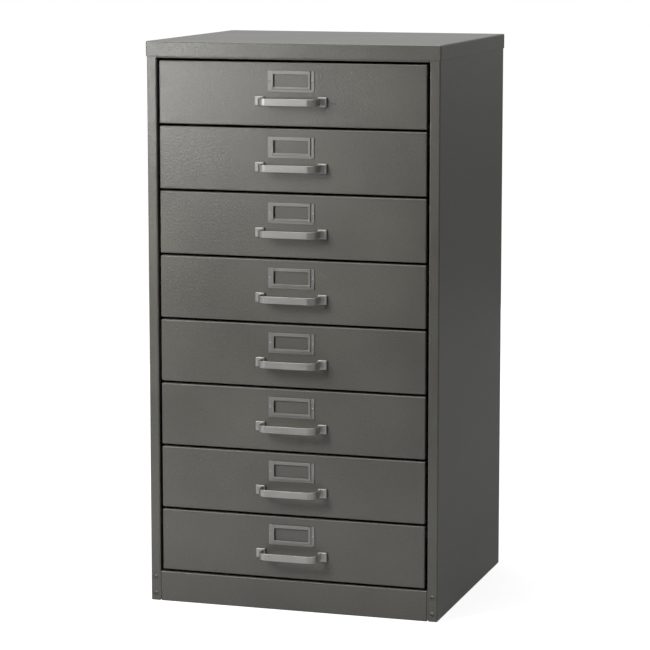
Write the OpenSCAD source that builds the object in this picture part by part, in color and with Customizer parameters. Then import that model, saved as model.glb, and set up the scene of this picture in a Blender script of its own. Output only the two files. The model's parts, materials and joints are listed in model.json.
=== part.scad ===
// Small metal drawer cabinet: a folded sheet-steel carcase with drawers on channel runners.
// Millimetres. X runs to the right, the drawers face -Y and Z is up.
// The origin is on the floor, below the middle of the whole cabinet with its handles.

/* [Cabinet] */
// Width over the top cover
cabinet_w = 450; // [400:1:600]
// Depth over the top cover
cabinet_d = 385; // [360:1:500]
// Height from the floor to the top
cabinet_h = 844; // [780:1:1000]
// Number of drawers, one above the other
drawer_count = 8; // [4:1:8]
// Thickness of the carcase sheet
sheet_t = 1; // [0.8:0.1:1.4]
// Outer radius of the carcase's folded edges
fold_r = 2; // [1.8:0.1:2.6]
// Width of the stiles and of the other side panel flanges
stile_w = 15.5; // [14:0.5:18]
// Depth of the lip turned back from each stile
stile_lip = 11; // [6:0.5:12]

/* [Top cover] */
// Height of the cover's lips
cover_lip = 22.5; // [18:0.5:28]
// Gap between the cover and the carcase inside it
cover_gap = 0.2; // [0.1:0.05:0.5]

/* [Plinth, top rail and floor] */
// Height of the plinth
plinth_h = 46; // [44:1:70]
// Strip of the top rail that shows below the cover's lip
rail_show = 2.3; // [1:0.1:5]
// Depth of the flanges turned back from the plinth, the top rail and the back panel
rail_flange = 14; // [10:0.5:18]
// Seam between the stiles and what stands between them
seam = 0.3; // [0.1:0.1:0.6]
// Length of the root by which each rear tab holds to the plinth or the top rail
tab_root = 12; // [8:1:20]
// Depth of the floor pan's flanges
floor_flange = 15; // [8:1:20]

/* [Drawer fronts] */
// Gap between a drawer front and the next, and at the top and the bottom
front_gap = 3.5; // [2:0.1:6]
// Gap between a drawer front and the stile beside it
side_gap = 4; // [2:0.1:6]
// Thickness of the drawer sheet
drawer_t = 0.8; // [0.7:0.1:1.2]
// Outer radius of the drawer fronts' folded edges
front_fold_r = 1.8; // [1.6:0.1:3]
// Depth of the flanges turned back from a drawer front
front_depth = 12; // [8:0.5:13]

/* [Trays] */
// Space between a closed tray and the back panel
rear_space = 19.8; // [8:0.1:40]
// Height of a tray's underside above the lower edge of its front
tray_lift = 3; // [2:0.5:8]
// Distance from the top edge of a front down to its tray's rim
tray_drop = 17; // [12:0.5:24]
// Outer radius of a tray's folded lower edges
tray_fold_r = 1.8; // [1.6:0.1:3]
// Width of the flange by which a tray is welded to its front
weld_flange = 12; // [8:0.5:16]
// Gap between a tray's side and the runner lips
tray_gap = 2.8; // [1:0.1:4]
// Distance by which a tray's hangers stay inside its front's width
hanger_inset = 1; // [0.5:0.1:2]
// Width of the stop tabs on the hangers
stop_w = 7; // [5:0.5:8]
// Height of the stop tabs above the hangers
stop_h = 2.6; // [2.2:0.1:2.8]
// Travel of a drawer, from closed to its stop
travel = 290; // [150:1:300]

/* [Runners] */
// Reach of the runner channels from the side panel
runner_reach = 28; // [26:0.5:32]
// Clear height inside a runner channel
runner_slot = 4.4; // [4.2:0.1:6]
// Thickness of the runner sheet
runner_t = 1.2; // [1:0.1:1.5]
// Outer radius of the runners' folds
runner_fold_r = 1.8; // [1.7:0.1:2.2]
// Running gap between a hanger and the lip that carries it
run_gap = 0.3; // [0.1:0.05:0.4]
// Height of the stop lug turned down at a runner's front end
lug_h = 1.6; // [1.4:0.1:1.8]
// Gap between a closed drawer and the stop behind it, and between an open one and its lugs
stop_gap = 0.5; // [0.2:0.1:1]
// Gap from the drawer front's flanges and the stile's lip to the runners behind them
runner_setback = 2; // [1:0.5:4]

/* [Label holders] */
// Width of a label holder
label_w = 71; // [66:0.5:90]
// Height of a label holder
label_h = 30.5; // [28:0.5:34]
// Thickness of its sheet
label_t = 1.2; // [0.6:0.1:1.5]
// Width of the raised bezel
bezel_w = 60; // [54:0.5:62]
// Height of the raised bezel, which is open at the top
bezel_h = 26.8; // [24:0.1:27]
// How far the bezel stands out of the drawer front
bezel_raise = 3.2; // [2:0.1:4]
// Width of the bezel beside and below the window
bezel_rim = 3.3; // [2:0.1:5]
// Height of the window
window_h = 18.8; // [12:0.1:20]
// Radius of the window's corners
window_r = 1.6; // [1:0.1:3]
// Radius of the label holder's outer corners
label_r = 1; // [0.5:0.1:1.8]
// Distance from the top edge of a front down to its label holder
label_drop = 12; // [6:0.5:16]

/* [Handles] */
// Distance between the two fixing screws
screw_pitch = 96; // [80:1:128]
// Width of a handle foot
foot_w = 14; // [12:0.5:16]
// Height of a handle foot
foot_h = 14; // [12:0.5:16]
// Thickness of a handle foot
foot_t = 4; // [3.5:0.1:6]
// Radius of a foot's outer edges
foot_r = 1.2; // [0.6:0.1:2]
// Distance from the drawer front to the front of the grip
handle_reach = 28.5; // [22:0.5:36]
// Thickness of the strap
strap_t = 2; // [1.5:0.1:3]
// Height of the strap
strap_h = 10.3; // [8:0.1:12]
// Outer radius of the strap's two bends
strap_r = 14; // [5:0.5:18]
// Distance from a screw's axis in to the outside of the strap's leg
leg_inset = 2.5; // [0:0.1:3]
// Distance from the label holder's lower edge down to the handle's middle
handle_drop = 13.7; // [9:0.1:16]

/* [Fixings] */
// Diameter of the handle screws and the cover screws
screw_d = 4; // [3:0.5:5]
// Diameter of their heads
screw_head_d = 7.5; // [7:0.5:9]
// Height of their heads
screw_head_h = 2.4; // [2:0.1:3]
// Width of the slot in their heads
slot_w = 1; // [0.8:0.1:1.4]
// Depth of the slot in their heads
slot_d = 1; // [0.6:0.1:1.4]
// Length of a handle foot left whole in front of the screw
foot_skin = 0.8; // [0.6:0.1:1.5]
// Length of a cover screw past the sheets that it holds
screw_end = 4; // [2:0.5:8]
// Diameter of the pins that hold a label holder
pin_d = 2; // [1.5:0.1:2.4]
// Diameter of their heads
pin_head_d = 3; // [2.6:0.1:4]
// Height of their heads
pin_head_h = 0.8; // [0.5:0.1:1.2]
// Diameter of the blind rivets
rivet_d = 4; // [3.2:0.1:4.8]
// Diameter of their heads
rivet_head_d = 7; // [6:0.1:8]
// Height of their heads
rivet_head_h = 1.5; // [1:0.1:2]
// Diameter of the hole that the mandrel leaves in a head
mandrel_d = 2; // [1.5:0.1:2.4]
// Diameter of the bulb behind the sheets
bulb_d = 5.8; // [5:0.1:7]
// Length of the bulb behind the sheets
bulb_l = 2.6; // [2:0.1:4]
// Height of the lower plinth rivets above the floor
rivet_low = 11; // [8:0.5:14]
// Distance from the lower plinth rivets up to the upper ones
rivet_rise = 25.3; // [18:0.1:28]
// Gap between the bulbs and the floor pan behind them
bulb_gap = 1; // [0.5:0.5:3]
// Number of rivets down each side of the back
back_rivet_count = 5; // [3:1:9]
// Radial clearance of every screw, pin and rivet in its hole
hole_gap = 0.05; // [0.02:0.01:0.08]

/* [Hidden] */
$fn = 48;
// Length by which a cutting shape runs past what it cuts
cut = 1;

paint = [0.42, 0.42, 0.40];
inner_paint = [0.34, 0.34, 0.33];
nickel = [0.76, 0.75, 0.73];
zinc = [0.62, 0.62, 0.60];

// Carcase; middle_y is the middle of its depth
body_w = cabinet_w - 2 * (sheet_t + cover_gap);
body_d = cabinet_d - 2 * (sheet_t + cover_gap);
body_h = cabinet_h - sheet_t;
middle_y = (handle_reach + body_d / 2 - cabinet_d / 2 - screw_head_h) / 2;
body_front = middle_y - body_d / 2;
body_back = middle_y + body_d / 2;
wall_x = body_w / 2 - sheet_t;
panel_x = wall_x - (fold_r - sheet_t);
opening_w = body_w - 2 * stile_w;
opening_top = cabinet_h - cover_lip - rail_show;
opening_h = opening_top - plinth_h;
between_w = opening_w - 2 * seam;
stile_x = (body_w - stile_w) / 2;
edge_w = 2 * fold_r;
panel_back = body_back - sheet_t;
floor_front = body_front + 2 * sheet_t + bulb_l + bulb_gap;
floor_back = panel_back - sheet_t;

// Drawers, all placed from the lower edge of their front
pitch = (opening_h - front_gap) / drawer_count;
front_h = pitch - front_gap;
front_w = opening_w - 2 * side_gap;
front_back = body_front + drawer_t;
tray_w = 2 * (wall_x - runner_reach - tray_gap);
tray_h = front_h - tray_lift - tray_drop;
tray_back = floor_back - rear_space;
rim_z = tray_lift + tray_h;
hanger_x = front_w / 2 - hanger_inset;
hanger_z = rim_z - drawer_t;

// Runners, which start behind both a front's flanges and the stile's lip
runner_front = body_front + max(front_depth, stile_lip) + runner_setback;
runner_h = runner_slot + 2 * runner_t;
runner_z = hanger_z - run_gap - runner_t;
runner_back = tray_back + stop_gap + runner_t;
lip_x = wall_x - runner_reach;
stop_front = runner_front + runner_t + travel + stop_gap;

// Label holder and handle
label_top = front_h - label_drop;
label_z = label_top - label_h / 2;
bezel_z = label_top - bezel_h / 2;
window_w = bezel_w - 2 * bezel_rim;
window_z = label_top - bezel_h + bezel_rim + window_h / 2;
pin_x = (label_w + bezel_w) / 4;
handle_z = label_top - label_h - handle_drop;
strap_w = screw_pitch - 2 * leg_inset;
screw_bite = foot_t - foot_skin;

// Cover screws and back rivets
cover_screw_z = cabinet_h - cover_lip / 2;
cover_screw_l = 3 * sheet_t + cover_gap + screw_end;
cover_screw_y = middle_y + cabinet_d / 2 - cover_screw_l;
back_rivet_step = (opening_top - 2 * rivet_low) / (back_rivet_count - 1);

DRAWER_PIECES = ["tray", "front", "handle", "label_holder", "fixings"];

// Height of the lower edge of a front; drawer 1 is the top one
function front_z(i) = plinth_h + front_gap + (drawer_count - i) * pitch;

// ---- Outlines ----

module rounded_rect(w, h, r) {
    square([w - 2 * r, h], center = true);
    square([w, h - 2 * r], center = true);
    for (x = [-1, 1], y = [-1, 1])
        translate([x * (w / 2 - r), y * (h / 2 - r)]) circle(r);
}

// Sheet folded into a channel: a web at x = 0 and two lips that run to x = depth
module channel_outline(depth, h, t, r) {
    intersection() {
        difference() {
            translate([depth, h / 2]) rounded_rect(2 * depth, h, r);
            translate([depth, h / 2]) rounded_rect(2 * (depth - t), h - 2 * t, r - t);
        }
        square([depth, h]);
    }
}

// Sheet folded into an angle with its outer corner at the origin
module angle_outline(w, h, t, r) {
    intersection() {
        difference() {
            translate([w, h]) rounded_rect(2 * w, 2 * h, r);
            translate([w, h]) rounded_rect(2 * (w - t), 2 * (h - t), r - t);
        }
        square([w, h]);
    }
}

// ---- Ways to place an outline or a solid ----

// Extrudes an outline of (y, z) from x0 to x1
module along_x(x0, x1) {
    translate([x0, 0, 0]) rotate([90, 0, 90]) linear_extrude(x1 - x0) children();
}

// Extrudes an outline of (x, z) from y0 to y1
module along_y(y0, y1) {
    translate([0, y1, 0]) rotate([90, 0, 0]) linear_extrude(y1 - y0) children();
}

module both_sides() {
    children();
    mirror([1, 0, 0]) children();
}

// Points a solid's +Z into the cabinet from the front
module from_front() {
    rotate([-90, 0, 0]) children();
}

// Points a solid's +Z into the cabinet from the back
module from_back() {
    rotate([90, 0, 0]) children();
}

// ---- Folded pans ----

// Block whose face at z = 0 has rounded edges, as have its four corners
module rounded_block(w, d, h, r) {
    intersection() {
        linear_extrude(h) rounded_rect(w, d, r);
        along_y(-d / 2, d / 2) translate([0, h]) rounded_rect(w, 2 * h, r);
        along_x(-w / 2, w / 2) translate([0, h]) rounded_rect(d, 2 * h, r);
    }
}

// Tray-shaped shell of sheet with its face at z = 0 and its flanges up to z = h
module pan(w, d, h, t, r) {
    difference() {
        rounded_block(w, d, h, r);
        translate([0, 0, t]) rounded_block(w - 2 * t, d - 2 * t, h, r - t);
    }
}

// ---- Fixings, along +Z ----

// Part of a ball, d across and h high, with its flat side at z = 0
module dome(d, h) {
    ball_r = (d * d / 4 + h * h) / (2 * h);
    intersection() {
        translate([0, 0, h - ball_r]) sphere(ball_r);
        cylinder(h = h, d = 2 * d);
    }
}

// Blind rivet that enters at z = 0, with its head below
module blind_rivet(grip) {
    difference() {
        union() {
            mirror([0, 0, 1]) dome(rivet_head_d, rivet_head_h);
            cylinder(h = grip, d = rivet_d);
            translate([0, 0, grip]) cylinder(h = bulb_l, d = bulb_d);
        }
        translate([0, 0, -rivet_head_h - cut]) cylinder(h = rivet_head_h + cut, d = mandrel_d);
    }
}

// Pin that enters at z = 0, with its head below and its end spread behind the sheets
module label_pin(grip) {
    mirror([0, 0, 1]) dome(pin_head_d, pin_head_h);
    cylinder(h = grip, d = pin_d);
    translate([0, 0, grip]) cylinder(h = pin_head_h, d = pin_head_d);
}

// Slotted screw with its tip at z = 0 and its head from z = l up
module screw(l) {
    cylinder(h = l, d = screw_d);
    difference() {
        translate([0, 0, l]) cylinder(h = screw_head_h, d = screw_head_d);
        translate([-screw_head_d, -slot_w / 2, l + screw_head_h - slot_d])
            cube([2 * screw_head_d, slot_w, slot_d + cut]);
    }
}

module hole(d, l) {
    translate([0, 0, -cut]) cylinder(h = l + 2 * cut, d = d + 2 * hole_gap);
}

// ---- Places of the fixings ----

module plinth_rivet_places() {
    for (x = [-stile_x, stile_x], z = [rivet_low, rivet_low + rivet_rise])
        translate([x, body_front, z]) from_front() children();
}

module back_rivet_places() {
    for (x = [-stile_x, stile_x], n = [0:back_rivet_count - 1])
        translate([x, body_back, rivet_low + n * back_rivet_step]) from_back() children();
}

module cover_screw_places() {
    for (x = [-stile_x, stile_x])
        translate([x, cover_screw_y, cover_screw_z]) from_front() children();
}

module handle_screw_places() {
    for (x = [-screw_pitch / 2, screw_pitch / 2])
        translate([x, body_front - screw_bite, handle_z]) from_front() children();
}

module label_pin_places() {
    for (x = [-pin_x, pin_x])
        translate([x, body_front - label_t, label_z]) from_front() children();
}

// ---- Carcase ----

module top_cover() {
    color(paint) difference() {
        translate([0, middle_y, cabinet_h]) mirror([0, 0, 1])
            pan(cabinet_w, cabinet_d, cover_lip, sheet_t, fold_r);
        cover_screw_places() hole(screw_d, cover_screw_l);
    }
}

// The stile's inner edge, folded back into a lip beside the drawers
module stile_edge() {
    translate([opening_w / 2, body_front]) angle_outline(edge_w, stile_lip, sheet_t, fold_r);
}

module right_side_panel() {
    color(paint) difference() {
        union() {
            difference() {
                translate([body_w / 2, middle_y, body_h / 2]) rotate([0, -90, 0])
                    pan(body_h, body_d, stile_w, sheet_t, fold_r);
                translate([opening_w / 2 - cut, body_front - cut, plinth_h])
                    cube([edge_w + cut, fold_r + cut, opening_h]);
            }
            translate([0, 0, plinth_h]) linear_extrude(opening_h) stile_edge();
        }
        plinth_rivet_places() hole(rivet_d, sheet_t);
        back_rivet_places() hole(rivet_d, sheet_t);
        cover_screw_places() hole(screw_d, cover_screw_l);
    }
}

module left_side_panel() {
    mirror([1, 0, 0]) right_side_panel();
}

module back_panel() {
    color(inner_paint) difference() {
        union() {
            along_y(panel_back - sheet_t, panel_back)
                translate([-panel_x, fold_r]) square([2 * panel_x, body_h - 2 * fold_r]);
            along_x(-between_w / 2, between_w / 2)
                translate([panel_back, 0]) mirror([1, 0])
                    angle_outline(rail_flange, rail_flange, sheet_t, fold_r);
        }
        back_rivet_places() hole(rivet_d, 2 * sheet_t);
        cover_screw_places() hole(screw_d, cover_screw_l);
    }
}

// Channel between the stiles with a tab behind each stile
module cross_member(z, h) {
    translate([0, body_front, z]) {
        along_x(-between_w / 2, between_w / 2)
            channel_outline(rail_flange, h, sheet_t, fold_r);
        both_sides()
            translate([between_w / 2 - tab_root, sheet_t, fold_r])
                cube([panel_x - between_w / 2 + tab_root, sheet_t, h - 2 * fold_r]);
    }
}

module top_rail() {
    color(paint) cross_member(opening_top, body_h - opening_top);
}

module plinth() {
    color(paint) difference() {
        cross_member(0, plinth_h);
        plinth_rivet_places() hole(rivet_d, 2 * sheet_t);
    }
}

module floor_pan() {
    color(inner_paint)
        translate([0, (floor_front + floor_back) / 2, plinth_h - sheet_t]) mirror([0, 0, 1])
            pan(2 * wall_x, floor_back - floor_front, floor_flange, sheet_t, fold_r);
}

module plinth_rivets() {
    color(zinc) plinth_rivet_places() blind_rivet(2 * sheet_t);
}

module back_rivets() {
    color(zinc) back_rivet_places() blind_rivet(2 * sheet_t);
}

module cover_screws() {
    color(zinc) cover_screw_places() screw(cover_screw_l);
}

// Channel on the right side panel: stop lug at the front end, closed at the back
module runner() {
    along_y(runner_front, runner_back)
        translate([wall_x, 0]) mirror([1, 0])
            channel_outline(runner_reach, runner_h, runner_t, runner_fold_r);
    translate([lip_x, runner_front, runner_h - runner_t - lug_h])
        cube([hanger_x - lip_x, runner_t, lug_h + runner_t]);
    translate([lip_x, runner_back - runner_t, runner_t / 2])
        cube([runner_reach - runner_t, runner_t, runner_h - runner_t]);
}

module runner_pair(i) {
    color(zinc) translate([0, 0, front_z(i) + runner_z]) both_sides() runner();
}

// ---- Drawer pieces, each with the lower edge of its front at z = 0 ----

module tray_outline() {
    translate([0, tray_lift + tray_h]) intersection() {
        rounded_rect(tray_w, 2 * tray_h, tray_fold_r);
        translate([-tray_w / 2, -tray_h]) square([tray_w, tray_h]);
    }
}

module tray_hollow() {
    translate([0, tray_lift + tray_h])
        rounded_rect(tray_w - 2 * drawer_t, 2 * (tray_h - drawer_t), tray_fold_r - drawer_t);
}

// Flange by which the tray is welded to its front
module weld_outline() {
    difference() {
        tray_outline();
        translate([-tray_w / 2 + weld_flange, tray_lift + weld_flange])
            square([tray_w - 2 * weld_flange, tray_h]);
    }
}

// Flange that runs in the runner, with the tab that stops the drawer when it is open
module hanger() {
    translate([tray_w / 2 - drawer_t, runner_front, hanger_z])
        cube([hanger_x - tray_w / 2 + drawer_t, tray_back - runner_front, drawer_t]);
    translate([hanger_x - stop_w, stop_front, hanger_z])
        cube([stop_w, drawer_t, drawer_t + stop_h]);
}

module tray() {
    color(inner_paint) union() {
        along_y(front_back, tray_back) difference() {
            tray_outline();
            tray_hollow();
        }
        along_y(tray_back - drawer_t, tray_back) tray_outline();
        along_y(front_back, front_back + drawer_t) weld_outline();
        both_sides() hanger();
    }
}

module front() {
    color(paint) difference() {
        translate([0, body_front, front_h / 2]) from_front()
            pan(front_w, front_h, front_depth, drawer_t, front_fold_r);
        handle_screw_places() hole(screw_d, screw_bite + drawer_t);
        label_pin_places() hole(pin_d, label_t + drawer_t);
    }
}

module bezel_outline() {
    translate([-bezel_w / 2, bezel_z - bezel_h / 2]) square([bezel_w, bezel_h]);
}

// The space for the card, open at the top
module card_outline() {
    translate([-bezel_w / 2 + label_t, bezel_z - bezel_h / 2 + label_t])
        square([bezel_w - 2 * label_t, bezel_h]);
}

module label_holder() {
    color(nickel) difference() {
        union() {
            along_y(body_front - label_t, body_front) difference() {
                translate([0, label_z]) rounded_rect(label_w, label_h, label_r);
                card_outline();
            }
            along_y(body_front - bezel_raise, body_front) difference() {
                bezel_outline();
                card_outline();
            }
            along_y(body_front - bezel_raise, body_front - bezel_raise + label_t) difference() {
                bezel_outline();
                translate([0, window_z]) rounded_rect(window_w, window_h, window_r);
            }
        }
        label_pin_places() hole(pin_d, label_t);
    }
}

// Seen from above: the grip, its two bends and its two legs
module strap_outline() {
    intersection() {
        difference() {
            rounded_rect(strap_w, 2 * handle_reach, strap_r);
            rounded_rect(strap_w - 2 * strap_t, 2 * (handle_reach - strap_t), strap_r - strap_t);
        }
        translate([-strap_w / 2, -handle_reach]) square([strap_w, handle_reach - foot_t / 2]);
    }
}

module handle() {
    color(nickel) difference() {
        union() {
            translate([0, body_front, handle_z - strap_h / 2])
                linear_extrude(strap_h) strap_outline();
            both_sides()
                translate([screw_pitch / 2, body_front - foot_t, handle_z]) from_front()
                    rounded_block(foot_w, foot_h, foot_t, foot_r);
        }
        handle_screw_places() cylinder(h = screw_bite + cut, d = screw_d + 2 * hole_gap);
    }
}

module fixings() {
    color(zinc) {
        handle_screw_places() screw(screw_bite + drawer_t);
        label_pin_places() label_pin(label_t + drawer_t);
    }
}

module drawer_piece(i, piece) {
    translate([0, 0, front_z(i)]) {
        if (piece == "tray") tray();
        if (piece == "front") front();
        if (piece == "handle") handle();
        if (piece == "label_holder") label_holder();
        if (piece == "fixings") fixings();
    }
}

// ---- Assembly ----

top_cover();
left_side_panel();
right_side_panel();
back_panel();
top_rail();
plinth();
floor_pan();
plinth_rivets();
back_rivets();
cover_screws();
for (i = [1:drawer_count]) {
    runner_pair(i);
    for (piece = DRAWER_PIECES)
        drawer_piece(i, piece);
}
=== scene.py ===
"""Dresses the drawer cabinet: folded steel sheet under a fine textured grey paint, satin nickel
handles, label holders in a darker copy of the nickel as painted shade, dull rivets, and
zinc-plated runners inside.

Lengths are metres, in the frame's own axes: X to the right, the drawers face -Y, Z is up.
"""
import json
import math

import bpy
import numpy as np
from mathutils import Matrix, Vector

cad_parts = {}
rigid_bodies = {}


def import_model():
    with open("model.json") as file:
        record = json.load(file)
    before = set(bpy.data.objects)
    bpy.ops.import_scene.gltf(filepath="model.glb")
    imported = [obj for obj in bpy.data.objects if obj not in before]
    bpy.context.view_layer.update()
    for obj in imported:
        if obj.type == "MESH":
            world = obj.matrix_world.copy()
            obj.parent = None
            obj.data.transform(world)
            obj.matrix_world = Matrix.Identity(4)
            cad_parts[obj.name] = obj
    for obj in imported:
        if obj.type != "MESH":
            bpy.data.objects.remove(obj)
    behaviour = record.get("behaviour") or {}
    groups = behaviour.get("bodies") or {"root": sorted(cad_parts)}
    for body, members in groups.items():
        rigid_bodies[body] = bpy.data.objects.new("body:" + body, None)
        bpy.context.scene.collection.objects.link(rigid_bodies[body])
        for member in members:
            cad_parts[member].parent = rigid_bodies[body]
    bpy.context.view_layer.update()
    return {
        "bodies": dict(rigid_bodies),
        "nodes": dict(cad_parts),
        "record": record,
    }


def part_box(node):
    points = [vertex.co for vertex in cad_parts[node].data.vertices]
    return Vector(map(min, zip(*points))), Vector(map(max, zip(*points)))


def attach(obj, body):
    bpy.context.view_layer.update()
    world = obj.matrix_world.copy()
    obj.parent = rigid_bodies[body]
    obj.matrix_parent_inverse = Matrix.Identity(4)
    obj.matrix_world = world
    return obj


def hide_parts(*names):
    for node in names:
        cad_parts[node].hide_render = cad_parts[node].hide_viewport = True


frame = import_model()
nodes = frame["nodes"]

MM = 0.001
DRAWERS = [name for name in frame["bodies"] if name.startswith("drawer")]

# ---- Sizes ----

SHEET = 1.0 * MM            # carcase sheet
FOLD = 2.0 * MM             # outer radius of its folds
STILE = 15.5 * MM           # width of a side panel's front and rear flanges
STILE_LIP = 11.0 * MM       # depth of the lip turned back from a stile
PLINTH_TOP = 46.0 * MM
OPENING_TOP = 819.2 * MM    # lower edge of the top rail
MEMBER_DEPTH = 14.0 * MM    # depth of the plinth's and the top rail's flanges
DRAWER_SHEET = 0.8 * MM
FRONT_FOLD = 1.8 * MM       # outer radius of a drawer front's folds
CUT_EDGE = 0.15 * MM        # rounding of a sheared edge
LIP_TRIM = 0.8 * MM         # slope along the cover's lower edge
HOLD = 0.05 * MM            # distance off a bend of the points that keep the flats beside it flat

STRAP = 2.0 * MM            # thickness of a handle's strap
STRAP_EDGE = 0.6 * MM       # rounding of its edges
STRAP_BEND = 14.0 * MM      # outer radius of its two bends
STRAP_HEIGHT = 10.3 * MM
STRAP_HALF_SPAN = 45.5 * MM
SCREW_PITCH = 96.0 * MM     # from one foot's middle to the other's
FOOT = 14.0 * MM
FOOT_THICK = 4.0 * MM
FOOT_EDGE = 1.2 * MM

BEZEL_HALF = 30.0 * MM      # label holder: its raised frame's half width, height, rim and window
BEZEL_TALL = 26.8 * MM
BEZEL_RAISE = 3.2 * MM
BEZEL_RIM = 3.3 * MM
BEZEL_ROUND = 0.5 * MM      # rounding of its two long folds
WINDOW_TALL = 18.8 * MM
WINDOW_CORNER = 1.6 * MM
HOLDER_HALF = 35.5 * MM     # its sheet: half the width, the height, corners and thickness
HOLDER_DROP = 30.5 * MM
HOLDER_CORNER = 1.0 * MM
HOLDER_SHEET = 1.2 * MM

RIVET_HEAD = 3.5 * MM       # radii and lengths of a blind rivet
RIVET_DOME = 1.5 * MM
RIVET_SHANK = 2.0 * MM
RIVET_BULB = 2.9 * MM
BULB_LENGTH = 2.6 * MM
MANDREL = 1.7 * MM          # radius of the dimple that its mandrel leaves
RIVET_LOW = 11.0 * MM       # height of the lowest rivets, and the rise to the next
PLINTH_RIVET_RISE = 25.3 * MM
BACK_RIVETS = 5

ARC_STEPS = 6               # of a bend or a corner
HOLDER_STEPS = 4            # of the label holder's smaller ones
STRAP_STEPS = 12            # of the strap's larger ones
TURNED_STEPS = 40           # of a turned part
CORNER_LEFT = 0.15          # least share of a corner's radius that a draw-in leaves
SHARP_FROM = math.radians(40)   # angle from which an edge is drawn sharp


# ---- Meshes: a part is an (n, 3) array of points and a list of (k, corners) arrays of faces ----

def outward(points, faces):
    """Turns a closed part's faces over if the volume that they enclose, a sum of triple products,
    is negative."""
    volume = 0.0
    for block in faces:
        fans = np.cross(points[block[:, 1:-1]], points[block[:, 2:]])
        volume += np.einsum("mi,mki->", points[block[:, 0]], fans)
    return points, faces if volume > 0 else [block[:, ::-1] for block in faces]


def join(parts):
    """One part from several: all their points, and their faces numbered on from part to part."""
    points, faces, start = [], [], 0
    for part_points, part_faces in parts:
        points.append(part_points)
        faces += [block + start for block in part_faces]
        start += len(part_points)
    return np.concatenate(points), faces


def make_piece(name, parts, material, body, replaced):
    """One piece from closed parts, smooth but for its sheared edges, in the place of a CAD node."""
    points, faces = join([outward(*part) for part in parts])
    mesh = bpy.data.meshes.new(name)
    mesh.from_pydata(points.tolist(), [], [row for block in faces for row in block.tolist()])
    mesh.validate()
    mesh.shade_smooth()
    mesh.set_sharp_from_angle(angle=SHARP_FROM)
    mesh.materials.append(material)
    piece = bpy.data.objects.new(name, mesh)
    bpy.context.scene.collection.objects.link(piece)
    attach(piece, body)
    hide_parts(replaced)


def grid_faces(rows, columns, closed=False):
    """Quads between the points of a grid, row by row; a closed grid joins its last column to its
    first."""
    i, j = np.meshgrid(np.arange(rows - 1), np.arange(columns - (not closed)), indexing="ij")
    here, beside = i * columns + j, i * columns + (j + 1) % columns
    return np.stack([here, beside, beside + columns, here + columns], -1).reshape(-1, 4)


def tube(rings):
    """Closed part from a (rings, n, 3) array: each ring is joined to the next, and the end rings
    are filled."""
    rows, count = rings.shape[:2]
    ends = np.stack([np.arange(count), (rows - 1) * count + np.arange(count)])
    return rings.reshape(-1, 3), [grid_faces(rows, count, closed=True), ends[:1, ::-1], ends[1:]]


def strip(sections):
    """Closed part of sheet from a (steps, 2, n, 3) array: at each step n points lie on its one side
    and n on its other. The loop over one side and back along the other is joined step to step, and
    quads between the sides close both ends."""
    steps, _, half = sections.shape[:3]
    loops = np.concatenate([sections[:, 0], sections[:, 1, ::-1]], axis=1)
    i = np.arange(half - 1)
    end = np.stack([i, i + 1, 2 * half - 2 - i, 2 * half - 1 - i], -1)
    return (loops.reshape(-1, 3),
            [grid_faces(steps, 2 * half, closed=True), end[:, ::-1], end + (steps - 1) * 2 * half])


# ---- Outlines and profiles ----

def bend_steps(steps=ARC_STEPS):
    """Shares of a bend's angle, with both ends doubled, and how far along the tangent each point is
    moved: the doubled ends stand just off the bend, on the flats beside it, and keep their shading
    flat."""
    share = np.linspace(0, 1, steps + 1)
    return np.concatenate([[0], share, [1]]), np.concatenate([[-HOLD], np.zeros(steps + 1), [HOLD]])


def rounded_outline(half_w, half_h, radius, steps=ARC_STEPS):
    """Counter-clockwise rounded rectangle: four quarter circles of the radius, one about each
    corner's centre."""
    share, on = bend_steps(steps)
    angle = (np.arange(4)[:, None] + share) * np.pi / 2
    cos, sin = np.cos(angle), np.sin(angle)
    centre = np.array([[1, 1], [-1, 1], [-1, -1], [1, -1]]) * [half_w - radius, half_h - radius]
    return np.stack([centre[:, :1] + radius * cos - on * sin,
                     centre[:, 1:] + radius * sin + on * cos], -1).reshape(-1, 2)


def quarter_bend(radius, steps=ARC_STEPS):
    """(inset, setback) round a fold: from the face, one radius in, to the flange, one radius
    back."""
    share, on = bend_steps(steps)
    angle = share * np.pi / 2
    return np.stack([radius * (1 - np.sin(angle)) - on * np.cos(angle),
                     radius * (1 - np.cos(angle)) + on * np.sin(angle)], -1)


def pan_profile(depth, sheet, bend, trim=CUT_EDGE):
    """A pan of sheet: over the outer fold, down the flange, round its sheared edge and back inside.
    The edge's outer corner is cut off at 45 degrees."""
    edge = [[0, depth - trim], [trim, depth], [sheet - CUT_EDGE, depth], [sheet, depth - CUT_EDGE]]
    return np.concatenate([quarter_bend(bend), edge, quarter_bend(bend - sheet)[::-1] + sheet])


def block_profile(depth, edge):
    """A solid block with its front edges rounded."""
    return np.concatenate([quarter_bend(edge), [[0, depth - CUT_EDGE], [CUT_EDGE, depth]]])


def pressing(half_w, half_h, corner, profile):
    """Pan or block whose face looks along +c at c = 0: ring k is the rounded outline drawn in by
    the profile's inset k and set back by its setback k. Points are (a, b, c)."""
    rings = []
    for inset, setback in profile:
        radius = max(corner - inset, corner * CORNER_LEFT)
        outline = rounded_outline(half_w - inset, half_h - inset, radius)
        rings.append(np.column_stack([outline, np.full(len(outline), -setback)]))
    return tube(np.stack(rings))


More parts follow.
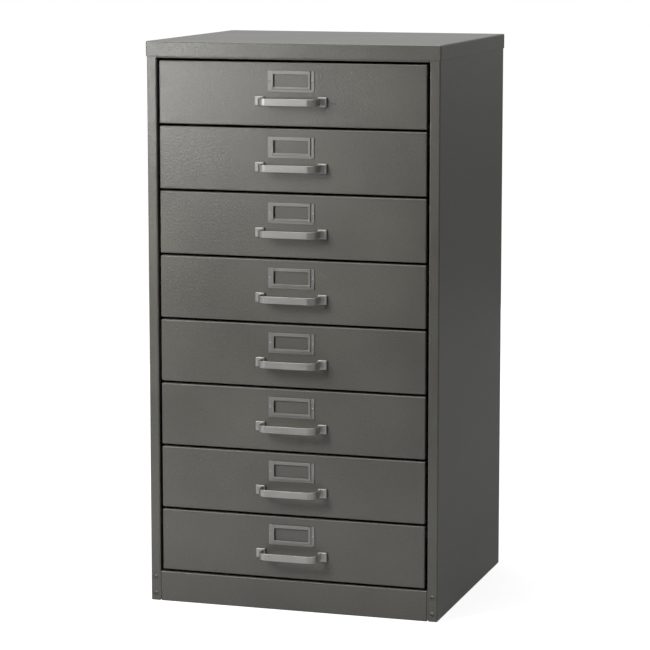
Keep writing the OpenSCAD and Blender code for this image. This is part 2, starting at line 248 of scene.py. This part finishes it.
def folded_line(corners, radius, steps=ARC_STEPS):
    """A line of straight runs joined by arcs of one radius at its corners. Returns its points and
    unit normals.

    At each corner the arc starts and ends radius * tan(half the turn) from it, and its points turn
    about a centre that lies one radius to the side that the line turns to."""
    corners = np.asarray(corners, float)
    run = np.diff(corners, axis=0)
    run /= np.linalg.norm(run, axis=1)[:, None]
    left = np.stack([-run[:, 1], run[:, 0]], -1)
    points, normals = [corners[:1]], [left[:1]]
    share, on = bend_steps(steps)
    for corner, before, after, side in zip(corners[1:-1], run[:-1], run[1:], left[:-1]):
        turn = math.atan2(before[0] * after[1] - before[1] * after[0], before @ after)
        start = corner - before * radius * math.tan(abs(turn) / 2)
        hand = math.copysign(1, turn)
        centre = start + side * radius * hand
        angle = (share * turn)[:, None]
        normal = side * np.cos(angle) - before * np.sin(angle)
        along = before * np.cos(angle) + side * np.sin(angle)
        points.append(centre - normal * radius * hand + along * on[:, None])
        normals.append(normal)
    points.append(corners[-1:])
    normals.append(left[-1:])
    return np.concatenate(points), np.concatenate(normals)


def bent_sheet(corners, bend, low, high):
    """Bent sheet of one section drawn from c = low to high: its middle line through the corners,
    with an outer bend radius, is offset by half the sheet's thickness to each side. Points are
    (a, b, c)."""
    line, normal = folded_line(corners, bend - SHEET / 2)
    sides = np.stack([line + normal * SHEET / 2, line - normal * SHEET / 2])
    ends = [np.concatenate([sides, np.full((*sides.shape[:2], 1), c)], -1) for c in (low, high)]
    return strip(np.stack(ends))


def lathe(profile):
    """Turned part: a line of (radius, setback) points carried round the c axis. Points are
    (a, b, c)."""
    angle = np.arange(TURNED_STEPS) * 2 * np.pi / TURNED_STEPS
    radius, back = np.asarray(profile).T
    return tube(np.stack([radius[:, None] * np.cos(angle), radius[:, None] * np.sin(angle),
                          np.broadcast_to(-back[:, None], (len(back), TURNED_STEPS))], -1))


def laid(part, right, up, at):
    """A part's (a, b, c) laid along two of the frame's axes and the one square to both, from a
    place."""
    points, faces = part
    turn = np.array([right, up, np.cross(right, up)], float)
    return points @ turn + at, faces


X, Y, Z = np.eye(3)


# ---- Materials ----

PEEL = 330.0                # scales of noise, per metre: the paint's orange peel
PATCH = 7.0                 # and its patches of tone and gloss
SMUDGE = 45.0               # smudges on metal
EFFECTS = [(label, "NodeSocketFloat") for label in ("Tone", "Roughness", "Height")]


def new_group(name, inputs, outputs):
    """A node group with its input sockets, as (label, kind, value), and its output sockets."""
    group = bpy.data.node_groups.new(name, "ShaderNodeTree")
    for label, kind, value in inputs:
        socket = group.interface.new_socket(label, in_out="INPUT", socket_type=kind)
        socket.default_value = value
    for label, kind in outputs:
        group.interface.new_socket(label, in_out="OUTPUT", socket_type=kind)
    return group, group.nodes.new("NodeGroupInput"), group.nodes.new("NodeGroupOutput")


def node(tree, kind, values=(), **settings):
    """A node with its settings and the values of its input sockets."""
    made = tree.nodes.new(kind)
    for key, value in settings.items():
        setattr(made, key, value)
    for key, value in dict(values).items():
        made.inputs[key].default_value = value
    return made


def noise(tree, coordinates, scale, detail, roughness=0.5):
    """The value of a noise texture."""
    made = node(tree, "ShaderNodeTexNoise",
                {"Scale": scale, "Detail": detail, "Roughness": roughness})
    tree.links.new(coordinates, made.inputs["Vector"])
    return made.outputs["Fac"]


def feed(tree, socket, value):
    """Gives a socket its value, a number or another node's output."""
    if isinstance(value, (int, float)):
        socket.default_value = value
    else:
        tree.links.new(value, socket)


def combine(tree, operation, a, b):
    made = node(tree, "ShaderNodeMath", operation=operation)
    feed(tree, made.inputs[0], a)
    feed(tree, made.inputs[1], b)
    return made.outputs[0]


def add(tree, a, b):
    return combine(tree, "ADD", a, b)


def times(tree, a, b):
    return combine(tree, "MULTIPLY", a, b)


def ramp(tree, value, start, end):
    """Maps a value from one range, a pair, to another, and holds it there."""
    made = node(tree, "ShaderNodeMapRange", {1: start[0], 2: start[1], 3: end[0], 4: end[1]})
    tree.links.new(value, made.inputs[0])
    return made.outputs[0]


def spread(tree, value, low, high):
    """Maps 0.3 to 0.7, where noise mostly lies, to low to high."""
    return ramp(tree, value, (0.3, 0.7), (low, high))


def blend(tree, share, a, b):
    """a where the share is 0 and b where it is 1."""
    made = node(tree, "ShaderNodeMix", data_type="FLOAT")
    for key, value in (("Factor", share), ("A", a), ("B", b)):
        feed(tree, made.inputs[key], value)
    return made.outputs[0]


def sandy_coat():
    """Powder-coat texture: fine grains, soft orange peel and slight patches of tone and gloss."""
    group, given, result = new_group(
        "Sandy coat",
        [("Grain per metre", "NodeSocketFloat", 900.0), ("Tone", "NodeSocketFloat", 0.04),
         ("Roughness", "NodeSocketFloat", 0.45)], EFFECTS)
    links = group.links
    place_on = node(group, "ShaderNodeTexCoord").outputs["Object"]
    grain = node(group, "ShaderNodeTexNoise", {"Detail": 3.0, "Roughness": 0.6})
    links.new(place_on, grain.inputs["Vector"])
    links.new(given.outputs["Grain per metre"], grain.inputs["Scale"])
    peel = noise(group, place_on, PEEL, 0.0)
    patch = noise(group, place_on, PATCH, 2.0)
    swing = spread(group, patch, -1.0, 1.0)
    speck = spread(group, grain.outputs["Fac"], -1.0, 1.0)
    both = add(group, times(group, swing, 0.6), times(group, speck, 0.9))
    tone = add(group, 1.0, times(group, both, given.outputs["Tone"]))
    rough = add(group, given.outputs["Roughness"], times(group, swing, 0.03))
    height = add(group, grain.outputs["Fac"], times(group, peel, 0.75))
    links.new(tone, result.inputs["Tone"])
    links.new(rough, result.inputs["Roughness"])
    links.new(height, result.inputs["Height"])
    return group


def fine_brush():
    """Brushed metal: noise drawn out along one axis gives fine lines of height, tone and gloss."""
    group, given, result = new_group(
        "Fine brush",
        [("Stretch", "NodeSocketVector", (40.0, 900.0, 900.0)),
         ("Roughness", "NodeSocketFloat", 0.3)], EFFECTS)
    links = group.links
    place_on = node(group, "ShaderNodeTexCoord").outputs["Object"]
    scaled = node(group, "ShaderNodeVectorMath", operation="MULTIPLY")
    links.new(place_on, scaled.inputs[0])
    links.new(given.outputs["Stretch"], scaled.inputs[1])
    lines = noise(group, scaled.outputs[0], 1.0, 4.0, 0.65)
    smudge = noise(group, place_on, SMUDGE, 2.0)
    tone = add(group, spread(group, lines, 0.94, 1.04), spread(group, smudge, -0.03, 0.03))
    rough = add(group, given.outputs["Roughness"], spread(group, smudge, -0.03, 0.05))
    links.new(tone, result.inputs["Tone"])
    links.new(rough, result.inputs["Roughness"])
    links.new(lines, result.inputs["Height"])
    return group


SANDY = sandy_coat()
BRUSH = fine_brush()


def finish(name, group, colour, metallic, values, bump, depth, specular=0.5):
    """A surface whose tone, gloss and height come from one of the groups."""
    material = bpy.data.materials.new(name)
    material.use_nodes = True
    tree = material.node_tree
    shader = tree.nodes["Principled BSDF"]
    shader.inputs["Metallic"].default_value = metallic
    shader.inputs["Specular IOR Level"].default_value = specular
    effect = tree.nodes.new("ShaderNodeGroup")
    effect.node_tree = group
    for key, value in values.items():
        effect.inputs[key].default_value = value
    tint = node(tree, "ShaderNodeVectorMath", {0: colour}, operation="SCALE")
    tree.links.new(effect.outputs["Tone"], tint.inputs["Scale"])
    tree.links.new(tint.outputs[0], shader.inputs["Base Color"])
    tree.links.new(effect.outputs["Roughness"], shader.inputs["Roughness"])
    relief = node(tree, "ShaderNodeBump", {"Strength": bump, "Distance": depth})
    tree.links.new(effect.outputs["Height"], relief.inputs["Height"])
    tree.links.new(relief.outputs[0], shader.inputs["Normal"])
    return material


grey_paint = finish("Textured grey paint", SANDY, (0.080, 0.078, 0.067), 0.0,
                    {"Roughness": 0.32, "Tone": 0.2, "Grain per metre": 480.0},
                    bump=1.0, depth=0.21 * MM, specular=0.85)
inner_paint = finish("Inner grey paint", SANDY, (0.072, 0.067, 0.058), 0.0,
                     {"Roughness": 0.4, "Tone": 0.05},
                     bump=0.25, depth=0.08 * MM, specular=0.4)
nickel = finish("Satin nickel", BRUSH, (0.44, 0.434, 0.417), 1.0,
                {"Roughness": 0.43}, bump=0.12, depth=0.03 * MM)
# Label holders: the satin nickel with the same gloss but a darker colour, painted shade for their
# darker reflections.
shaded_nickel = finish("Shaded nickel", BRUSH, (0.325, 0.32, 0.307), 1.0,
                     {"Roughness": 0.43}, bump=0.12, depth=0.03 * MM)
zinc = finish("Dull zinc plate", BRUSH, (0.40, 0.40, 0.39), 1.0,
              {"Roughness": 0.42, "Stretch": (300.0, 60.0, 300.0)}, bump=0.1, depth=0.03 * MM)
rivet_metal = finish("Rivet metal", BRUSH, (0.13, 0.127, 0.12), 1.0,
                     {"Roughness": 0.38, "Stretch": (500.0, 500.0, 500.0)},
                     bump=0.1, depth=0.03 * MM)

NODE_FINISH = {"grey_paint": grey_paint, "inner_paint": inner_paint, "satin_nickel": nickel,
               "zinc_steel": zinc, "rivet_steel": rivet_metal}
for part in frame["record"]["subparts"]:
    slots = nodes[part["node"]].data.materials
    slots.clear()
    slots.append(NODE_FINISH[part["material_slot"]])


# ---- Carcase ----

def middle(node_name):
    """The middle of a CAD node's box, and half its size."""
    low, high = (np.array(corner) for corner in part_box(node_name))
    return (low + high) / 2, (high - low) / 2


def top_cover():
    """Pan that looks up, its flanges turned down all round as the cover's lips."""
    centre, half = middle("top_cover")
    shell = pressing(half[0], half[1], FOLD, pan_profile(2 * half[2], SHEET, FOLD, LIP_TRIM))
    make_piece("cover_skin", [laid(shell, X, Y, centre + half * Z)], grey_paint, "carcase",
               "top_cover")


def side_panel(side, name):
    """Pan with its web on the outside. Strips beyond its front and rear flanges bring them to the
    stile's width, and the front one turns back into a lip beside the drawers."""
    centre, half = middle(name)
    flange = STILE - FOLD
    shell = pressing(half[1], half[2], FOLD, pan_profile(flange, SHEET, FOLD))
    parts = [laid(shell, side * Y, Z, centre + side * half * X)]
    outer = centre[0] + side * half[0]
    seam, edge = outer - side * flange, outer - side * STILE
    front, back = centre[1] - half[1] + SHEET / 2, centre[1] + half[1] - SHEET / 2
    top = centre[2] + half[2]
    lip = edge + side * SHEET / 2
    for corners, low, high in [([(seam, front), (lip, front), (lip, front - SHEET / 2 + STILE_LIP)],
                                PLINTH_TOP, OPENING_TOP),
                               ([(seam, front), (edge, front)], FOLD, PLINTH_TOP),
                               ([(seam, front), (edge, front)], OPENING_TOP, top - FOLD),
                               ([(seam, back), (edge, back)], FOLD, top - FOLD)]:
        parts.append(laid(bent_sheet(corners, FOLD, low, high), X, Y, (0, 0, 0)))
    make_piece(f"{name}_skin", parts, grey_paint, "carcase", name)


def cross_member(name):
    """Channel that looks forwards between the stiles, with a flat tab behind each stile."""
    centre, half = middle(name)
    front, low, high = centre[1] - half[1], centre[2] - half[2], centre[2] + half[2]
    web, span = SHEET / 2, half[0] - (STILE - SHEET)
    corners = [(MEMBER_DEPTH, high - web), (web, high - web),
               (web, low + web), (MEMBER_DEPTH, low + web)]
    parts = [laid(bent_sheet(corners, FOLD, -span, span), Y, Z, (0, front, 0))]
    for side in (-1, 1):
        tab = bent_sheet([(side * (span - FOLD), 3 * web), (side * half[0], 3 * web)], FOLD,
                         low + FOLD, high - FOLD)
        parts.append(laid(tab, X, Y, (0, front, 0)))
    make_piece(f"{name}_skin", parts, grey_paint, "carcase", name)


def blind_rivet():
    """Domed head with the dimple that its mandrel left, shank and bulb. The dome is part of a ball:
    its height at radius r is sqrt(ball^2 - r^2) less what the ball stands below the sheet."""
    ball = (RIVET_HEAD ** 2 + RIVET_DOME ** 2) / (2 * RIVET_DOME)
    radius = np.linspace(MANDREL + CUT_EDGE, RIVET_HEAD, 10)
    dome = np.stack([radius, -(np.sqrt(ball ** 2 - radius ** 2) - (ball - RIVET_DOME))], -1)
    dome[-1, 1] = 0
    dimple = [[MANDREL, 0], [MANDREL, dome[0, 1] + CUT_EDGE]]
    grip = 2 * SHEET
    shank = [[RIVET_SHANK, 0], [RIVET_SHANK, grip],
             [RIVET_BULB, grip], [RIVET_BULB, grip + BULB_LENGTH]]
    return lathe(np.concatenate([dimple, dome, shank]))


def rivets(name, right, heights):
    """A column of blind rivets through each stile or rear flange, heads outwards."""
    centre, half = middle(name)
    out = np.cross(right, Z)
    plane = centre[1] + out[1] * (half[1] - RIVET_DOME)
    places = [(side * (half[0] - RIVET_HEAD), plane, z) for side in (-1, 1) for z in heights]
    parts = [laid(blind_rivet(), right, Z, place) for place in places]
    make_piece(f"{name}_heads", parts, rivet_metal, "carcase", name)


# ---- Drawer pieces ----

def drawer_front(drawer):
    """Pan of sheet whose face and flanges meet in soft folds."""
    centre, half = middle(f"{drawer}_front")
    profile = pan_profile(2 * half[1], DRAWER_SHEET, FRONT_FOLD)
    shell = laid(pressing(half[0], half[2], FRONT_FOLD, profile), X, Z, centre - half * Y)
    make_piece(f"{drawer}_face", [shell], grey_paint, drawer, f"{drawer}_front")


def handle(drawer):
    """Bow handle: the strap, a rounded rectangle carried along legs, bends and grip, stands on two
    square feet with rounded edges."""
    centre, half = middle(f"{drawer}_handle")
    front_y = centre[1] + half[1]
    span, face = STRAP_HALF_SPAN - STRAP / 2, centre[1] - half[1] + STRAP / 2
    root = front_y - FOOT_THICK / 2
    line, normal = folded_line([(-span, root), (-span, face), (span, face), (span, root)],
                               STRAP_BEND - STRAP / 2, STRAP_STEPS)
    across, up = rounded_outline(STRAP / 2, STRAP_HEIGHT / 2, STRAP_EDGE, 4).T
    rings = np.empty((len(line), len(up), 3))
    rings[..., :2] = line[:, None] + normal[:, None] * across[:, None]
    rings[..., 2] = centre[2] + up
    parts = [tube(rings)]
    foot = pressing(FOOT / 2, FOOT / 2, FOOT_EDGE, block_profile(FOOT_THICK, FOOT_EDGE))
    for side in (-1, 1):
        parts.append(laid(foot, X, Z, (side * SCREW_PITCH / 2, front_y - FOOT_THICK, centre[2])))
    make_piece(f"{drawer}_bow_handle", parts, nickel, drawer, f"{drawer}_handle")


def holder_levels(side):
    """(half width, drop of the lower edge, corner radius, height) of lines across the pressed
    sheet, from its outer edge up over the step to the window. Side 0 is the front of the sheet,
    side 1 its back."""
    base, step = (HOLDER_SHEET, 0) if side == 0 else (0, HOLDER_SHEET)
    rise = BEZEL_RAISE if side == 0 else BEZEL_RAISE - HOLDER_SHEET
    trim = -CUT_EDGE if side == 0 else CUT_EDGE
    bend = quarter_bend(BEZEL_ROUND, HOLDER_STEPS)
    bezel = [(step - inset, base + setback, HOLDER_CORNER) for inset, setback in bend]
    bezel += [(step + inset, rise - setback, HOLDER_CORNER) for inset, setback in bend[::-1]]
    bezel += [(BEZEL_RIM - CUT_EDGE, rise, WINDOW_CORNER), (BEZEL_RIM, rise + trim, WINDOW_CORNER)]
    rim = [(HOLDER_HALF, HOLDER_DROP, HOLDER_CORNER, base + trim),
           (HOLDER_HALF - CUT_EDGE, HOLDER_DROP - CUT_EDGE, HOLDER_CORNER, base)]
    return rim + [(BEZEL_HALF - inset, BEZEL_TALL - inset, corner, height)
                  for inset, height, corner in bezel]


def label_holder(drawer):
    """Card frame pressed from one sheet, open at the top: its skins run round three sides as a U,
    from the outer edge over the step to the window, and a bar joins the U's arms above the
    window."""
    centre, half = middle(f"{drawer}_label_holder")
    angle = np.linspace(0, np.pi / 2, HOLDER_STEPS + 1)

    def u_line(half_w, drop, corner, height):
        right = np.stack([half_w - corner + corner * np.sin(angle),
                          -drop + corner - corner * np.cos(angle)], -1)
        right = np.concatenate([right, [[half_w, 0]]])
        line = np.concatenate([right[::-1] * [-1, 1], right])
        return np.column_stack([line, np.full(len(line), height)])

    skins = np.stack([[u_line(*values) for values in holder_levels(side)] for side in (0, 1)])
    frame_u = strip(skins.transpose(2, 0, 1, 3))

    reach, top = BEZEL_HALF - BEZEL_RIM, BEZEL_TALL - BEZEL_RIM - WINDOW_TALL
    arc = WINDOW_CORNER * np.sin(angle)
    x = np.concatenate([-reach + WINDOW_CORNER - arc[::-1], reach - WINDOW_CORNER + arc])
    sink = WINDOW_CORNER * (1 - np.cos(angle))
    low = -top - np.concatenate([sink[::-1], sink])
    level = np.zeros(len(x))
    ease = np.array([CUT_EDGE, 0, 0, CUT_EDGE])
    bar = np.empty((len(x), 2, 4, 3))
    bar[..., 0] = x[:, None, None]
    bar[..., 1] = np.stack([low, low + CUT_EDGE, level - CUT_EDGE, level], -1)[:, None]
    bar[:, 0, :, 2] = BEZEL_RAISE - ease
    bar[:, 1, :, 2] = BEZEL_RAISE - HOLDER_SHEET + ease
    place = (0, centre[1] + half[1], centre[2] + half[2])
    parts = [laid(part, X, Z, place) for part in (frame_u, strip(bar))]
    make_piece(f"{drawer}_card_frame", parts, shaded_nickel, drawer,
               f"{drawer}_label_holder")


top_cover()
for side, name in ((-1, "left_side_panel"), (1, "right_side_panel")):
    side_panel(side, name)
for name in ("plinth", "top_rail"):
    cross_member(name)
rivets("plinth_rivets", X, (RIVET_LOW, RIVET_LOW + PLINTH_RIVET_RISE))
rivets("back_rivets", -X, np.linspace(RIVET_LOW, OPENING_TOP - RIVET_LOW, BACK_RIVETS))
for drawer in DRAWERS:
    drawer_front(drawer)
    handle(drawer)
    label_holder(drawer)


# ---- Floor, light and camera ----

def white_stage():
    """Pale floor that reads as white from afar. Close round the cabinet it glows a little dimmer to
    the camera, a painted shade, and keeps the cabinet's soft shadow. In mirror images alone it
    glows palest close in front, at the left: a painted reflection."""
    bpy.ops.mesh.primitive_plane_add(size=40)
    floor = bpy.context.object
    floor.name = "floor"
    material = bpy.data.materials.new("Pale floor")
    material.use_nodes = True
    tree = material.node_tree
    shader = tree.nodes["Principled BSDF"]
    shader.inputs["Base Color"].default_value = (0.36, 0.36, 0.36, 1)
    shader.inputs["Roughness"].default_value = 0.9
    shader.inputs["Specular IOR Level"].default_value = 0.0
    shader.inputs["Emission Color"].default_value = (1, 1, 1, 1)
    axes = node(tree, "ShaderNodeSeparateXYZ")
    place_on = node(tree, "ShaderNodeTexCoord").outputs["Object"]
    tree.links.new(place_on, axes.inputs[0])
    x, y = axes.outputs["X"], axes.outputs["Y"]
    # Glossy rays alone see the floor glow, palest close in front at the left: a painted reflection
    # for the metal.
    ahead = times(tree, ramp(tree, y, (-0.1, -0.4), (0.5, 1.0)),
                  ramp(tree, y, (-1.0, -1.6), (1.0, 0.0)))
    aside = ramp(tree, x, (0.3, -0.5), (0.3, 0.5))
    path = node(tree, "ShaderNodeLightPath")
    mirrored = times(tree, path.outputs["Is Glossy Ray"], times(tree, ahead, aside))
    away = node(tree, "ShaderNodeVectorMath", operation="LENGTH")
    tree.links.new(place_on, away.inputs[0])
    # Camera rays see the floor glow a little dimmer close round the cabinet: a painted shade at its
    # foot.
    shade = ramp(tree, away.outputs["Value"], (0.25, 0.5), (0.88, 1.0))
    seen = times(tree, path.outputs["Is Camera Ray"], shade)
    tree.links.new(add(tree, mirrored, seen), shader.inputs["Emission Strength"])
    floor.data.materials.append(material)


def surroundings():
    """Room that mirror images show dim in front, brighter at the far left and a little at the
    right, of a middle tone behind and brightest overhead. It is white wherever it is looked at,
    and lights the cabinet plainly."""
    world = bpy.data.worlds.new("Room")
    bpy.context.scene.world = world
    world.use_nodes = True
    tree = world.node_tree
    background = tree.nodes["Background"]
    axes = node(tree, "ShaderNodeSeparateXYZ")
    tree.links.new(node(tree, "ShaderNodeTexCoord").outputs["Generated"], axes.inputs[0])
    x, y, z = axes.outputs["X"], axes.outputs["Y"], axes.outputs["Z"]
    right = times(tree, ramp(tree, x, (0.1, 0.5), (0.0, 0.4)),
                  ramp(tree, x, (0.7, 0.9), (1.0, 0.0)))
    front = add(tree, ramp(tree, x, (-0.5, -0.9), (0.2, 1.0)), right)
    rear = ramp(tree, x, (0.05, -0.15), (0.45, 0.60))
    walls = blend(tree, ramp(tree, y, (-0.1, 0.1), (0.0, 1.0)), front, rear)
    room = add(tree, walls, ramp(tree, z, (0.5, 0.95), (0.0, 2.6)))
    path = node(tree, "ShaderNodeLightPath")
    plain = blend(tree, path.outputs["Is Glossy Ray"], 0.075, room)
    strength = blend(tree, path.outputs["Is Camera Ray"], plain, 1.0)
    tree.links.new(strength, background.inputs["Strength"])
    background.inputs["Color"].default_value = (1, 1, 1, 1)


def soft_box(name, at, towards, size, power, lights, mirrored):
    """Rectangular lamp, as wide and high as its size, turned to a place. It lights the cabinet,
    shows in its mirror images, or does both."""
    light = bpy.data.lights.new(name, "AREA")
    light.shape = "RECTANGLE"
    light.size, light.size_y = size
    light.energy = power
    lamp = bpy.data.objects.new(name, light)
    lamp.location = at
    lamp.visible_diffuse = lights
    lamp.visible_glossy = mirrored
    aim = np.array(towards) - np.array(at)
    yaw, pitch = math.atan2(-aim[0], aim[1]), math.atan2(aim[2], math.hypot(aim[0], aim[1]))
    lamp.rotation_euler = (math.pi / 2 + pitch, 0, yaw)
    bpy.context.scene.collection.objects.link(lamp)


def camera():
    """Long lens from the front right, a little above the cabinet's top."""
    data = bpy.data.cameras.new("Camera")
    data.sensor_width = 36
    data.lens = 148.26
    data.shift_y = -0.05
    view = bpy.data.objects.new("Camera", data)
    view.location = (1.2024, -3.8732, 1.0309)
    view.rotation_euler = (math.pi / 2 - 0.1410, 0, 0.3020)
    bpy.context.scene.collection.objects.link(view)
    bpy.context.scene.camera = view


white_stage()
surroundings()
for name, at, towards, size, power, lights, mirrored in (
        ("Low left", (-0.92, -1.28, 0.95), (-0.1, -0.18, 0.6), (0.45, 0.30), 14.5, True, False),
        ("Sheen", (-0.75, -1.28, 0.74), (-0.1, -0.18, 0.7), (0.45, 0.20), 3.3, False, True),
        ("High left", (-0.60, -1.15, 1.13), (-0.1, -0.18, 0.6), (0.40, 0.35), 9.2, True, False),
        ("Overhead", (-0.2, -0.75, 2.3), (-0.1, -0.25, 0.5), (1.2, 0.4), 5.5, True, True),
        ("Far", (-1.45, -3.68, 0.66), (-0.05, -0.18, 0.66), (0.35, 0.30), 2.8, True, True),
        ("Left", (-1.9, -0.9, 1.0), (-0.1, -0.1, 0.5), (0.5, 1.5), 6, True, False),
        ("Right", (2.2, -0.2, 1.2), (0.1, -0.1, 0.6), (0.5, 1.5), 5.5, True, False),
        ("Back", (2.6, 0.9, 1.6), (0.0, 0.1, 0.6), (1.0, 1.0), 3.4, True, False),
        ("Rear", (-0.9, 1.9, 0.45), (0.0, 0.2, 0.42), (0.8, 0.5), 9.5, True, True),
        ("Behind", (-0.3, 3.0, 0.45), (0.0, 0.2, 0.42), (1.0, 0.7), 14, True, False)):
    soft_box(f"{name} soft box", at, towards, size, power, lights, mirrored)
camera()
bpy.context.scene.view_settings.view_transform = "Standard"
